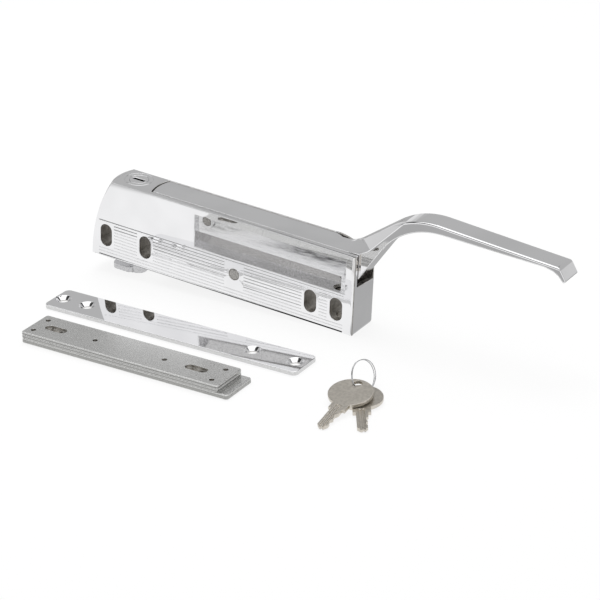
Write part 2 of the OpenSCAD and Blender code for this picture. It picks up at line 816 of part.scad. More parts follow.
module magnet_block() {
    color("dimgray")
    at_rest()
    difference() {
        translate([magnet_pin_x - pack_len / 2, pack_y + pole_t, magnet_z])
        cube([pack_len, magnet_t, magnet_h]);
        pack_holes();
    }
}

module pole_plate(y) {
    difference() {
        translate([magnet_pin_x - pack_len / 2, y, pole_z]) cube([pack_len, pole_t, pole_h]);
        pack_holes();
    }
}

module pole_plate_front() {
    color("gray") at_rest() pole_plate(pack_y);
}

module pole_plate_rear() {
    color("gray") at_rest() pole_plate(pack_y + pole_t + magnet_t);
}

module pack_rivets() {
    color("goldenrod")
    at_rest()
    for (s = [-1, 1]) {
        pin_y(magnet_pin_x + s * rivet_dx, rivet_z, rivet_r, pack_y, pack_y + pack_w);
        pin_y(magnet_pin_x + s * rivet_dx, rivet_z, rivet_r + 0.9, pack_y - 0.5, pack_y);
        pin_y(magnet_pin_x + s * rivet_dx, rivet_z, rivet_r + 0.9, pack_y + pack_w, pack_y + pack_w + 0.5);
    }
}

module magnet_bush() {
    color("goldenrod")
    at_rest()
    difference() {
        pin_y(magnet_pin_x, magnet_pin_z, bush_r, pack_y, pack_y + pack_w);
        pin_y(magnet_pin_x, magnet_pin_z, magnet_pin_r + running_gap, 0, body_w);
    }
}

// Lock rotor

module in_lock(z) {
    translate([lock_x, lock_y, z]) children();
}

module box(x, y, h) {
    translate([-x / 2, -y / 2, 0]) cube([x, y, h]);
}

module lock_plug() {
    color("lightgray")
    at_rest()
    difference() {
        union() {
            in_lock(plug_z + 0.05) cylinder(r = plug_r, h = body_h - plug_z - 0.05, $fn = 96);
            in_lock(cam_z + cam_h) cylinder(r = tail_r, h = plug_z - cam_z - cam_h + 1, $fn = 64);
            in_lock(cam_z + screw_sink_h) box(square_side, square_side, cam_h);
        }
        in_lock(keyway_z) box(keyway_len, keyway_w, body_h);
        for (i = [0 : 4])
            in_lock(wafer_first_z + i * wafer_pitch) box(wafer_x, wafer_y, wafer_t);
        in_lock(lock_seat_z - clip_t - 0.05)
        difference() {
            cylinder(r = tail_r + 1, h = clip_t, $fn = 64);
            cylinder(r = tail_r - 0.5, h = clip_t, $fn = 64);
        }
        in_lock(cam_z) cylinder(r = 1.2, h = 12, $fn = 32);
    }
}

module lock_wafers() {
    color("goldenrod")
    at_rest()
    for (i = [0 : 4])
        in_lock(wafer_first_z + i * wafer_pitch)
        difference() {
            box(wafer_x, wafer_y, wafer_t);
            box(blade_w + 0.2, keyway_w, 3 * wafer_t);
        }
}

module lock_clip() {
    color("gray")
    at_rest()
    in_lock(lock_seat_z - clip_t - 0.05)
    difference() {
        cylinder(r = tail_bore_r - 0.3, h = clip_t, $fn = 64);
        translate([0, 0, -1]) cylinder(r = tail_r - 0.5, h = clip_t + 2, $fn = 64);
        translate([0, -2, -1]) cube([tail_bore_r + 1, 4, clip_t + 2]);
    }
}

module cam_plan() {
    r = 3;
    back = -cam_reach;
    translate([back, -cam_w / 2 + r]) square([cam_reach, cam_w - 2 * r]);
    translate([back + r, -cam_w / 2]) square([cam_reach - 2 * r, cam_w]);
    for (s = [-1, 1]) {
        translate([back + r, s * (cam_w / 2 - r)]) circle(r, $fn = 48);
        translate([-r, s * (cam_w / 2 - r)]) circle(r, $fn = 48);
    }
}

module lock_cam() {
    color("silver")
    at_rest()
    difference() {
        union() {
            in_lock(cam_z) cylinder(r = cam_hub_r, h = cam_h, $fn = 96);
            in_lock(cam_z + 0.3) linear_extrude(cam_t) cam_plan();
        }
        in_lock(cam_z - 1) cylinder(r = screw_sink_r, h = screw_sink_h + 1, $fn = 64);
        in_lock(cam_z) box(square_side, square_side, cam_drop + 1);
    }
}

module cam_screw() {
    color("gray")
    at_rest()
    difference() {
        union() {
            in_lock(cam_z + 0.3) cylinder(r = screw_sink_r - 0.2, h = screw_sink_h - 0.3, $fn = 64);
            in_lock(cam_z + 1) cylinder(r = 1.2, h = 9, $fn = 32);
        }
        in_lock(cam_z) box(5, 0.8, 1);
    }
}

// Loose plates

module rounded_plate(x0, yc, len, w, r, z0, t) {
    translate([x0, yc - w / 2, z0])
    linear_extrude(t) {
        translate([r, 0]) square([len - 2 * r, w]);
        translate([0, r]) square([len, w - 2 * r]);
        for (x = [r, len - r]) for (y = [r, w - r])
            translate([x, y]) circle(r, $fn = 48);
    }
}

module strike_plate() {
    color("silver")
    on_table()
    difference() {
        rounded_plate(strike_x, -strike_y, strike_len, body_w, 3, 0, strike_t);
        for (x = strike_holes)
            translate([strike_x + x, -strike_y, 0]) {
                translate([0, 0, -1]) cylinder(r = strike_hole_r, h = strike_t + 2, $fn = 64);
                translate([0, 0, strike_t - (strike_sink_r - strike_hole_r)])
                cylinder(r1 = strike_hole_r, r2 = strike_sink_r + 1,
                    h = strike_sink_r - strike_hole_r + 1, $fn = 64);
            }
    }
}

module pilot_holes(t) {
    for (x = [pilot_x, pilot_x + pilot_pitch_x]) for (s = [-1, 1])
        translate([x, s * pilot_pitch_y / 2, -1]) cylinder(r = pilot_r, h = t + 2, $fn = 32);
    for (x = [pilot_mid_x, pilot_mid_x + pilot_mid_pitch])
        translate([x, 0, -1]) cylinder(r = pilot_r, h = t + 2, $fn = 32);
}

module adjust_slot(xc, t) {
    half = arm_slot_len / 2 - arm_slot_r;
    translate([xc, 0, -1])
    linear_extrude(t + 2) {
        translate([-half, -arm_slot_r]) square([2 * half, 2 * arm_slot_r]);
        translate([-half, 0]) circle(arm_slot_r, $fn = 48);
        translate([half, 0]) circle(arm_slot_r, $fn = 48);
    }
}

module slotted(z0, t) {
    on_table()
    difference() {
        rounded_plate(arm_x, -arm_y, arm_len, arm_w, 1.5, z0, t);
        translate([arm_x, -arm_y, z0]) {
            pilot_holes(t);
            adjust_slot(slot_a, t);
            adjust_slot(slot_b, t);
        }
    }
}

module armature_plate() {
    color("lightgray") slotted(base_t + shim_t, arm_t);
}

module spacer_shim() {
    color("gray") slotted(base_t, shim_t);
}

module base_plate() {
    color("lightgray")
    on_table()
    difference() {
        rounded_plate(arm_x, -arm_y, arm_len + base_extra, arm_w, 1.5, 0, base_t);
        translate([arm_x, -arm_y, 0]) {
            pilot_holes(base_t);
            for (x = [slot_a - hole_shift, slot_b - hole_shift])
                translate([x, 0, -1]) cylinder(r = arm_slot_r, h = base_t + 2, $fn = 48);
        }
    }
}

// Keys

module key_plan() {
    shank_w = blade_w + 3;
    half = blade_w / 2;
    // Cuts along the right edge: depth and distance from the tip, in widths and lengths
    w = blade_w / 7.4;
    d = blade_len / 19.5;
    difference() {
        union() {
            circle(bow_r, $fn = 96);
            translate([-shank_w / 2, -bow_r - 4 * d]) square([shank_w, 9 * d]);
            polygon([[-half, -bow_r - 3 * d], [-half, -key_tip + 2.2 * w],
                [-half + 2.2 * w, -key_tip], [half - 2.6 * w, -key_tip],
                [half - 0.8 * w, -key_tip + 2 * d], [half - 0.8 * w, -key_tip + 4 * d],
                [half - 1.8 * w, -key_tip + 5 * d], [half - 1.8 * w, -key_tip + 6.2 * d],
                [half - 0.5 * w, -key_tip + 7.4 * d], [half - 1.4 * w, -key_tip + 9 * d],
                [half - 1.4 * w, -key_tip + 10.4 * d], [half, -key_tip + 12 * d],
                [half, -bow_r - 3 * d]]);
        }
        translate([0, bow_hole_y]) circle(bow_hole_r, $fn = 48);
    }
}

module key_body() {
    w = blade_w / 7.4;
    difference() {
        linear_extrude(key_t) key_plan();
        translate([-1.9 * w, -key_tip - 1, key_t - 0.5]) cube([1.5 * w, blade_len + 0.5, 1]);
        translate([0.6 * w, -key_tip - 1, key_t - 0.5]) cube([0.9 * w, blade_len + 0.5, 1]);
        translate([-0.4 * w, -key_tip - 1, -0.5]) cube([1.3 * w, blade_len + 0.5, 1]);
    }
}

module key_front() {
    color("darkgray")
    on_table()
    translate([key_x, -key_y, 0])
    rotate([0, 0, key_front_turn])
    translate([0, -key_tip, 0])
    rotate([key_tilt, 0, 0])
    translate([0, key_tip, 0])
    key_body();
}

module key_back() {
    color("darkgray")
    on_table()
    translate([key_x + key_back_dx, -key_y + key_back_dy, 0])
    rotate([0, 0, key_back_turn])
    translate([0, -key_tip, 0])
    rotate([key_back_tilt, 0, 0])
    translate([0, key_tip, 0])
    key_body();
}

module key_ring() {
    color("gray")
    on_table()
    translate([key_x + ring_dx, -key_y + ring_dy, ring_wire_r + ring_r * cos(ring_lean)])
    rotate([0, 0, ring_turn])
    rotate([90 - ring_lean, 0, 0])
    rotate_extrude($fn = 120)
    translate([ring_r, 0]) circle(ring_wire_r, $fn = 24);
}

on_table() housing();
on_table() lever_pin();
on_table() magnet_pin();
on_table() lock_barrel();
on_table() return_spring();
on_table() rest_bumper();
on_table() lever();
on_table() kick_pad();
on_table() magnet_block();
on_table() pole_plate_front();
on_table() pole_plate_rear();
on_table() pack_rivets();
on_table() magnet_bush();
on_table() lock_plug();
on_table() lock_wafers();
on_table() lock_cam();
on_table() cam_screw();
on_table() lock_clip();
strike_plate();
armature_plate();
spacer_shim();
base_plate();
key_front();
key_back();
key_ring();
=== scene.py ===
# %% [markdown]
# A magnetic latch set for an edge-mounted door: a chrome casting with a long
# lever and a key lock, a chrome strike plate, a zinc-plated stack of armature
# plates, and two keys on a wire ring. Every solid already exists as a packed
# frame. This script gives each visible piece its edges, finish and light.

import math

import bmesh
import bpy
from mathutils import Matrix, Vector


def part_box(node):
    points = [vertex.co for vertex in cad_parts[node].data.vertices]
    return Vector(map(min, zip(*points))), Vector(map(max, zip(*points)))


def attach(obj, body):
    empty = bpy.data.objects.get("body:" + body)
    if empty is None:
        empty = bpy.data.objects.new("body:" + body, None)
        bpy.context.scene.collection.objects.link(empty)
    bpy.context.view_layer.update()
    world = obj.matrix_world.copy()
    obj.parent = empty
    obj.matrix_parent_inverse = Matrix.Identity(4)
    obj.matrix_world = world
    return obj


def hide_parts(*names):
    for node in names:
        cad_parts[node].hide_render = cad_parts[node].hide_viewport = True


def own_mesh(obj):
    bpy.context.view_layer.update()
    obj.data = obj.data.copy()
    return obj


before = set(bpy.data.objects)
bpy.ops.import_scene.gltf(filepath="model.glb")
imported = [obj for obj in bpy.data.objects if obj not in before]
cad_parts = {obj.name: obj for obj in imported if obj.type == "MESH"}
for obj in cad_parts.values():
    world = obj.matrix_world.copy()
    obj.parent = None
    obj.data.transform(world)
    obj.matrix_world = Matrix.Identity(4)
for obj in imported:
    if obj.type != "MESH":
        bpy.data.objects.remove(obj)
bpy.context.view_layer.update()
print("nodes in the frame:", len(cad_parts))

# %% [markdown]
# The camera stands where the photographer stood. Its angles come from fitting
# straight edges of the casting, and they are measured from one fixed point:
# the corner on which the casting's grip end touches the table.

# %% Camera
TOUCH_POINT = Vector((0.022786, 0.034830, 0.0))
CAMERA_AZIMUTH = math.radians(32.83)
CAMERA_ELEVATION = math.radians(25.72)
CAMERA_ROLL = math.radians(-1.308)
CAMERA_DISTANCE = 1.25151
CAMERA_SIDE_OFFSET = 0.025699
CAMERA_UP_OFFSET = -0.018295
LENS_MM = 150.0


def camera_axes(azimuth, elevation, roll):
    """Right, up and forward directions of a camera with that heading."""
    right = Vector((math.cos(azimuth), math.sin(azimuth), 0.0))
    forward = Vector(
        (
            -math.sin(azimuth) * math.cos(elevation),
            math.cos(azimuth) * math.cos(elevation),
            -math.sin(elevation),
        )
    )
    up = right.cross(forward)
    rolled_right = right * math.cos(roll) + up * math.sin(roll)
    rolled_up = up * math.cos(roll) - right * math.sin(roll)
    return rolled_right, rolled_up, forward


cam_right, cam_up, cam_forward = camera_axes(
    CAMERA_AZIMUTH, CAMERA_ELEVATION, CAMERA_ROLL
)
eye = (
    TOUCH_POINT
    - CAMERA_SIDE_OFFSET * cam_right
    - CAMERA_UP_OFFSET * cam_up
    - CAMERA_DISTANCE * cam_forward
)
camera_data = bpy.data.cameras.new("camera")
camera_data.lens = LENS_MM
camera_data.sensor_width = 36.0
camera_data.clip_end = 20.0
camera = bpy.data.objects.new("camera", camera_data)
bpy.context.scene.collection.objects.link(camera)
turn = Matrix((cam_right, cam_up, -cam_forward)).transposed()
camera.matrix_world = Matrix.Translation(eye) @ turn.to_4x4()
bpy.context.scene.camera = camera
bpy.context.scene.view_settings.view_transform = "Standard"
print("camera stands at", [round(v, 3) for v in eye])

# %% [markdown]
# Chrome has almost no colour of its own: what it mirrors makes its look. The
# photographer's room is a grey wall behind the set, a bright ceiling, a white
# side below the camera and a dark band above it. A rounded edge mirrors all of
# them at once, which draws a white line and a dark line along it.

# %% World
WALL_GREY = 0.48
HORIZON_GREY = 0.80
CEILING_WHITE = 1.30
CAMERA_SIDE_WHITE = 0.95
DARK_BAND_GREY = 0.05

# Each stop is a height in the room, from the horizon up, and the grey there.
WALL_STOPS = (
    (0.0, HORIZON_GREY),
    (0.05, HORIZON_GREY),
    (0.20, WALL_GREY),
    (0.59, WALL_GREY),
    (0.62, DARK_BAND_GREY),
    (0.70, DARK_BAND_GREY),
    (0.75, CEILING_WHITE),
)
FRONT_STOPS = (
    (0.0, CAMERA_SIDE_WHITE),
    (0.52, CAMERA_SIDE_WHITE),
    (0.56, DARK_BAND_GREY),
    (0.80, DARK_BAND_GREY),
    (0.85, CEILING_WHITE),
)
SIDE_SWITCH = ((0.60, 0.0), (0.72, 1.0))


def node_tree(owner):
    """The owner's emptied node tree, with nodes switched on."""
    owner.use_nodes = True
    owner.node_tree.nodes.clear()
    return owner.node_tree


def add(tree, kind, **values):
    """A node of that kind, with its inputs set by name."""
    node = tree.nodes.new(kind)
    for name, value in values.items():
        node.inputs[name.replace("_", " ")].default_value = value
    return node


def ramp_node(tree, source, stops):
    """A grey colour ramp over that socket."""
    ramp = tree.nodes.new("ShaderNodeValToRGB")
    while len(ramp.color_ramp.elements) < len(stops):
        ramp.color_ramp.elements.new(1.0)
    for element, (place, grey) in zip(ramp.color_ramp.elements, stops):
        element.position = place
        element.color = (grey, grey, grey, 1.0)
    tree.links.new(source, ramp.inputs["Fac"])
    return ramp.outputs["Color"]


def span_node(tree, source, span, kind="LINEAR"):
    """A Map Range node that runs from 0 to 1 over that span of the socket."""
    node = tree.nodes.new("ShaderNodeMapRange")
    node.interpolation_type = kind
    tree.links.new(source, node.inputs["Value"])
    node.inputs["From Min"].default_value = span[0]
    node.inputs["From Max"].default_value = span[1]
    return node


def math_node(tree, operation, first, second):
    """A Math node; each input is a socket or a number."""
    node = tree.nodes.new("ShaderNodeMath")
    node.operation = operation
    for place, value in zip(node.inputs, (first, second)):
        if isinstance(value, (int, float)):
            place.default_value = value
        else:
            tree.links.new(value, place)
    return node.outputs[0]


def mix_grey(tree, factor, first, second):
    """A colour mix of two sockets or greys."""
    mix = tree.nodes.new("ShaderNodeMix")
    mix.data_type = "RGBA"
    tree.links.new(factor, mix.inputs["Factor"])
    for place, value in ((mix.inputs["A"], first), (mix.inputs["B"], second)):
        if isinstance(value, (int, float)):
            place.default_value = (value, value, value, 1.0)
        else:
            tree.links.new(value, place)
    return mix.outputs["Result"]


world = bpy.data.worlds.new("studio")
bpy.context.scene.world = world
tree = node_tree(world)
place = tree.nodes.new("ShaderNodeTexCoord")
split = tree.nodes.new("ShaderNodeSeparateXYZ")
tree.links.new(place.outputs["Generated"], split.inputs["Vector"])
wall = ramp_node(tree, split.outputs["Z"], WALL_STOPS)
toward_camera = math_node(tree, "SUBTRACT", 0.5, split.outputs["Y"])
camera_side = ramp_node(tree, toward_camera, SIDE_SWITCH)
front_side = ramp_node(tree, split.outputs["Z"], FRONT_STOPS)
room = mix_grey(tree, camera_side, wall, front_side)
sky = add(tree, "ShaderNodeBackground", Strength=1.0)
tree.links.new(room, sky.inputs["Color"])
white = (1.0, 1.0, 1.0, 1.0)
backdrop = add(tree, "ShaderNodeBackground", Color=white, Strength=1.0)
ray = tree.nodes.new("ShaderNodeLightPath")
choose = tree.nodes.new("ShaderNodeMixShader")
tree.links.new(ray.outputs["Is Camera Ray"], choose.inputs["Fac"])
tree.links.new(sky.outputs[0], choose.inputs[1])
tree.links.new(backdrop.outputs[0], choose.inputs[2])
world_out = tree.nodes.new("ShaderNodeOutputWorld")
tree.links.new(choose.outputs[0], world_out.inputs["Surface"])
print("world: wall", WALL_GREY, "ceiling", CEILING_WHITE)

# %% [markdown]
# The table is a white sheet. It is white to the camera and in the polished
# faces close by. Far in front of the set and behind its right end, it wears a
# painted grey shade that only reflections see. The shade stands in for table
# that runs out of the light.

# %% Table
FLOOR_REACH = 4.0
FLOOR_DROP = 0.0002
TABLE_GLOW = 0.84
PAPER_GREY = 0.97
# Painted shade: the grey that reflections see on the table's far zones.
PAINTED_SHADE_GREY = 0.44
FAR_FRONT = (0.059, 0.068)
FAR_BEHIND = (0.070, 0.095)
RIGHT_EDGE = (0.0226, 0.0240)
BEHIND = (0.020, 0.034)
floor_mesh = bpy.data.meshes.new("floor")
corners = [(-1, -1), (1, -1), (1, 1), (-1, 1)]
floor_mesh.from_pydata(
    [(x * FLOOR_REACH, y * FLOOR_REACH, -FLOOR_DROP) for x, y in corners],
    [],
    [(0, 1, 2, 3)],
)
floor = bpy.data.objects.new("floor", floor_mesh)
bpy.context.scene.collection.objects.link(floor)
floor_paint = bpy.data.materials.new("white_table")
tree = node_tree(floor_paint)


def edge_between(tree, socket, span, sign=1.0):
    """0 before that span and 1 past it, of sign times that socket."""
    signed = math_node(tree, "MULTIPLY", socket, sign)
    return span_node(tree, signed, span, "SMOOTHSTEP").outputs["Result"]


place = tree.nodes.new("ShaderNodeTexCoord")
split = tree.nodes.new("ShaderNodeSeparateXYZ")
tree.links.new(place.outputs["Object"], split.inputs["Vector"])
in_front = edge_between(tree, split.outputs["Y"], FAR_FRONT, -1.0)
right = edge_between(tree, split.outputs["X"], RIGHT_EDGE)
behind = edge_between(tree, split.outputs["Y"], BEHIND)
far_behind = edge_between(tree, split.outputs["Y"], FAR_BEHIND)
beside = math_node(tree, "MULTIPLY", right, behind)
far_away = math_node(tree, "MAXIMUM", in_front, far_behind)
# The zones where reflections see painted grey shade instead of white paper.
painted_shade_zone = math_node(tree, "MAXIMUM", far_away, beside)
paper = add(tree, "ShaderNodeBsdfDiffuse", Color=(PAPER_GREY, PAPER_GREY, PAPER_GREY, 1.0))
ray = tree.nodes.new("ShaderNodeLightPath")
# Reflections see the paper white, with the painted grey shade in those zones; the camera sees
# plain white.
reflected_with_painted_shade = mix_grey(tree, painted_shade_zone, PAPER_GREY, PAINTED_SHADE_GREY)
shade = mix_grey(tree, ray.outputs["Is Camera Ray"], reflected_with_painted_shade, 1.0)
glow = add(tree, "ShaderNodeEmission", Strength=1.0)
tree.links.new(shade, glow.inputs["Color"])
to_camera = math_node(tree, "MULTIPLY", ray.outputs["Is Camera Ray"], TABLE_GLOW)
share = math_node(tree, "MAXIMUM", to_camera, ray.outputs["Is Glossy Ray"])
blend = tree.nodes.new("ShaderNodeMixShader")
tree.links.new(share, blend.inputs["Fac"])
tree.links.new(paper.outputs[0], blend.inputs[1])
tree.links.new(glow.outputs[0], blend.inputs[2])
out = tree.nodes.new("ShaderNodeOutputMaterial")
tree.links.new(blend.outputs[0], out.inputs["Surface"])
floor.data.materials.append(floor_paint)
print("table reaches", FLOOR_REACH, "m each way")

# %% [markdown]
# One broad lamp over the set lights the table and the dark rubber, and throws
# a faint shadow. It is hidden from reflections: a square lamp would stand in
# the chrome as a hard white patch, and the room already gives the highlights.

# %% Lamp
LAMP_WATTS = 6.0
LAMP_SIZE = (0.8, 0.6)
LAMP_PLACE = Vector((-0.22, 0.16, 1.30))
LAMP_AIM = Vector((0.0, 0.0, 0.03))
lamp_data = bpy.data.lights.new("softbox", "AREA")
lamp_data.shape = "RECTANGLE"
lamp_data.size, lamp_data.size_y = LAMP_SIZE
lamp_data.energy = LAMP_WATTS
lamp = bpy.data.objects.new("softbox", lamp_data)
lamp.location = LAMP_PLACE
lamp.visible_glossy = False
lamp.rotation_euler = (LAMP_AIM - LAMP_PLACE).to_track_quat("-Z", "Y").to_euler()
bpy.context.scene.collection.objects.link(lamp)
print("lamp:", LAMP_WATTS, "W at", [round(v, 2) for v in LAMP_PLACE])

# %% [markdown]
# Two effects are shared by the finishes, so each is a shader group. The first
# is the fine speckle of rolled, plated steel. The second is the slow waviness
# that a polished zinc casting keeps under its chrome.

# %% Shader groups
SPECKLE_SPAN = (0.36, 0.64)
HAZE_SPAN = (0.35, 0.70)
EVEN_STRETCH = (1.0, 1.0, 1.0)
LONG_STRETCH = (0.16, 1.0, 1.0)


def new_group(name, inputs, outputs):
    """An empty shader group with float inputs and outputs of those names."""
    group = bpy.data.node_groups.new(name, "ShaderNodeTree")
    for label, value in inputs:
        socket = group.interface.new_socket(
            label, in_out="INPUT", socket_type="NodeSocketFloat"
        )
        socket.default_value = value
    for label in outputs:
        group.interface.new_socket(
            label, in_out="OUTPUT", socket_type="NodeSocketFloat"
        )
    return group, group.nodes.new("NodeGroupInput"), group.nodes.new("NodeGroupOutput")


def object_noise(tree, scale_socket, detail, stretch):
    """Noise on Object coordinates, stretched, at the scale of that socket."""
    place = tree.nodes.new("ShaderNodeTexCoord")
    mapping = tree.nodes.new("ShaderNodeMapping")
    mapping.inputs["Scale"].default_value = stretch
    noise = tree.nodes.new("ShaderNodeTexNoise")
    noise.inputs["Detail"].default_value = detail
    tree.links.new(place.outputs["Object"], mapping.inputs["Vector"])
    tree.links.new(mapping.outputs["Vector"], noise.inputs["Vector"])
    tree.links.new(scale_socket, noise.inputs["Scale"])
    return noise.outputs["Fac"]


def make_speckle_group():
    """Speckle between Low and High, and its height."""
    group, given, result = new_group(
        "plating_speckle",
        [("Scale", 1500.0), ("Low", 0.3), ("High", 0.5)],
        ["Value", "Height"],
    )
    fine = object_noise(group, given.outputs["Scale"], 3.0, EVEN_STRETCH)
    spread = span_node(group, fine, SPECKLE_SPAN)
    group.links.new(given.outputs["Low"], spread.inputs["To Min"])
    group.links.new(given.outputs["High"], spread.inputs["To Max"])
    group.links.new(spread.outputs["Result"], result.inputs["Value"])
    group.links.new(fine, result.inputs["Height"])
    return group


def make_waviness_group(name, stretch):
    """Roughness with faint haze patches, and the casting's slow waves."""
    group, given, result = new_group(
        name,
        [("Scale", 60.0), ("Clean", 0.05), ("Hazy", 0.1)],
        ["Roughness", "Height"],
    )
    slow = object_noise(group, given.outputs["Scale"], 1.5, stretch)
    haze = span_node(group, slow, HAZE_SPAN)
    group.links.new(given.outputs["Clean"], haze.inputs["To Min"])
    group.links.new(given.outputs["Hazy"], haze.inputs["To Max"])
    group.links.new(haze.outputs["Result"], result.inputs["Roughness"])
    group.links.new(slow, result.inputs["Height"])
    return group


speckle_group = make_speckle_group()
waviness_group = make_waviness_group("casting_waves", EVEN_STRETCH)
wrinkle_group = make_waviness_group("long_wrinkles", LONG_STRETCH)
print("shader groups:", len(bpy.data.node_groups))

# %% [markdown]
# Each finish is one material. A Bevel node softens the normals along sharp
# edges, which is what catches the light on plated metal, and a weak Bump adds
# the surface's own texture.

# %% Finishes
TONE_SPAN = (0.38, 0.60)
EDGE_SAMPLES = 6
BUMP_STRENGTH = 0.5
DULL_EDGE_MM = 0.2


def metal(name, bright, shadow, group, group_values, roughness_from, bump_mm, edge_mm):
    """A plated metal with its texture group, edge rounding and weak bump.

    The colour runs between the two tones with the texture's height.
    """
    material = bpy.data.materials.new(name)
    tree = node_tree(material)
    shader = tree.nodes.new("ShaderNodeBsdfPrincipled")
    shader.inputs["Metallic"].default_value = 1.0
    texture = tree.nodes.new("ShaderNodeGroup")
    texture.node_tree = group
    for label, value in group_values.items():
        texture.inputs[label].default_value = value
    tone = tree.nodes.new("ShaderNodeMix")
    tone.data_type = "RGBA"
    tone.inputs["A"].default_value = (*shadow, 1.0)
    tone.inputs["B"].default_value = (*bright, 1.0)
    spread = span_node(tree, texture.outputs["Height"], TONE_SPAN)
    tree.links.new(spread.outputs["Result"], tone.inputs["Factor"])
    tree.links.new(tone.outputs["Result"], shader.inputs["Base Color"])
    tree.links.new(texture.outputs[roughness_from], shader.inputs["Roughness"])
    edge = tree.nodes.new("ShaderNodeBevel")
    edge.samples = EDGE_SAMPLES
    edge.inputs["Radius"].default_value = edge_mm / 1000.0
    bump = tree.nodes.new("ShaderNodeBump")
    bump.inputs["Strength"].default_value = BUMP_STRENGTH
    bump.inputs["Distance"].default_value = bump_mm / 1000.0
    tree.links.new(texture.outputs["Height"], bump.inputs["Height"])
    tree.links.new(edge.outputs["Normal"], bump.inputs["Normal"])
    tree.links.new(bump.outputs["Normal"], shader.inputs["Normal"])
    out = tree.nodes.new("ShaderNodeOutputMaterial")
    tree.links.new(shader.outputs["BSDF"], out.inputs["Surface"])
    return material


def wavy(name, bright, shadow, scale, clean, hazy, bump_mm, edge_mm, group=waviness_group):
    """A polished casting: slow waves under the plating."""
    values = {"Scale": scale, "Clean": clean, "Hazy": hazy}
    return metal(name, bright, shadow, group, values, "Roughness", bump_mm, edge_mm)


def speckled(name, bright, shadow, scale, low, high, bump_mm, edge_mm):
    """A plated sheet or a rough casting: fine speckle."""
    values = {"Scale": scale, "Low": low, "High": high}
    return metal(name, bright, shadow, speckle_group, values, "Value", bump_mm, edge_mm)


def dull(name, bright, shadow, scale, low, high, bump_mm):
    """A non-metal with speckled roughness: rubber or ferrite."""
    material = speckled(name, bright, shadow, scale, low, high, bump_mm, DULL_EDGE_MM)
    for node in material.node_tree.nodes:
        if node.bl_idname == "ShaderNodeBsdfPrincipled":
            node.inputs["Metallic"].default_value = 0.0
            node.inputs["IOR"].default_value = 1.5
    return material


chrome = wavy(
    "polished_chrome", (0.90, 0.90, 0.91), (0.86, 0.86, 0.87),
    scale=45, clean=0.025, hazy=0.055, bump_mm=0.03, edge_mm=0.15,
)
mirror = wavy(
    "mirror_chrome", (0.90, 0.90, 0.91), (0.88, 0.88, 0.89),
    scale=30, clean=0.02, hazy=0.035, bump_mm=0.004, edge_mm=0.1,
)
pocket_skin = wavy(
    "pocket_casting", (0.90, 0.90, 0.91), (0.76, 0.76, 0.77),
    scale=760, clean=0.13, hazy=0.26, bump_mm=0.05, edge_mm=0.15, group=wrinkle_group,
)
# The pocket's slanted underside faces down. Its rougher finish is a duller polish, and its
# darker colour is painted shade.
duller_underside_painted_shade = speckled(
    "pocket_underside_painted_shade", (0.74, 0.735, 0.73), (0.56, 0.555, 0.55),
    scale=1500, low=0.10, high=0.20, bump_mm=0.02, edge_mm=0.15,
)
# The casting's unplated inside is rough and dull. Its dark grey-brown colour is also painted
# shade, for the recesses behind the slots and the walls of the plates' holes.
rough_inside_painted_shade = speckled(
    "inner_casting_painted_shade", (0.66, 0.64, 0.61), (0.46, 0.445, 0.42),
    scale=400, low=0.30, high=0.45, bump_mm=0.05, edge_mm=0.1,
)
cut_edge = speckled(
    "cut_edge", (0.70, 0.70, 0.70), (0.62, 0.62, 0.62),
    scale=1200, low=0.16, high=0.24, bump_mm=0.01, edge_mm=0.1,
)
zinc = speckled(
    "zinc_plate", (0.80, 0.80, 0.79), (0.70, 0.70, 0.69),
    scale=2300, low=0.20, high=0.32, bump_mm=0.005, edge_mm=0.1,
)
# The zinc plates' sheared sides have a duller finish, darkened further with painted shade that
# draws the dark lines between the stacked plates.
zinc_side_painted_shade = speckled(
    "zinc_edge_painted_shade", (0.42, 0.42, 0.41), (0.32, 0.32, 0.31),
    scale=1500, low=0.24, high=0.36, bump_mm=0.008, edge_mm=0.1,
)
nickel = speckled(
    "key_nickel", (0.68, 0.64, 0.575), (0.60, 0.565, 0.505),
    scale=700, low=0.30, high=0.35, bump_mm=0.001, edge_mm=0.2,
)
steel = speckled(
    "plain_steel", (0.60, 0.60, 0.61), (0.48, 0.48, 0.49),
    scale=1200, low=0.18, high=0.32, bump_mm=0.02, edge_mm=0.12,
)
dark_steel = speckled(
    "pin_steel", (0.46, 0.45, 0.43), (0.32, 0.31, 0.30),
    scale=1200, low=0.18, high=0.32, bump_mm=0.02, edge_mm=0.12,
)
brass = speckled(
    "brass", (0.78, 0.60, 0.30), (0.62, 0.47, 0.22),
    scale=1200, low=0.25, high=0.4, bump_mm=0.02, edge_mm=0.12,
)
ferrite = dull(
    "ferrite", (0.06, 0.06, 0.065), (0.035, 0.035, 0.04),
    scale=600, low=0.6, high=0.8, bump_mm=0.1,
)
rubber = dull(
    "moulded_rubber", (0.03, 0.03, 0.03), (0.015, 0.015, 0.015),
    scale=900, low=0.7, high=0.85, bump_mm=0.05,
)
print("finishes:", len(bpy.data.materials))

# %% [markdown]
# The latch lies at a small tilt, on its cam and its far bottom edge. Its own
# axes are still the handiest ones for saying where a rim or a slot is, so a
# helper turns a point of the scene into millimetres from the latch's nose.

# %% The latch's own axes
REST_TILT = math.radians(3.676259)
BODY_LENGTH = 162.0
BODY_WIDTH = 20.6
BODY_HEIGHT = 44.0
ROW_ORIGIN_X = 139.21379
ROW_ORIGIN_Y = -34.81918


def latch_mm(point):
    """That scene point in millimetres along, across and up the latch."""
    along = point[0] * 1000.0 + ROW_ORIGIN_X - BODY_LENGTH
    up = point[2] * 1000.0
    return (
        BODY_LENGTH + along * math.cos(REST_TILT) - up * math.sin(REST_TILT),
        point[1] * 1000.0 + ROW_ORIGIN_Y,
        along * math.sin(REST_TILT) + up * math.cos(REST_TILT),
    )


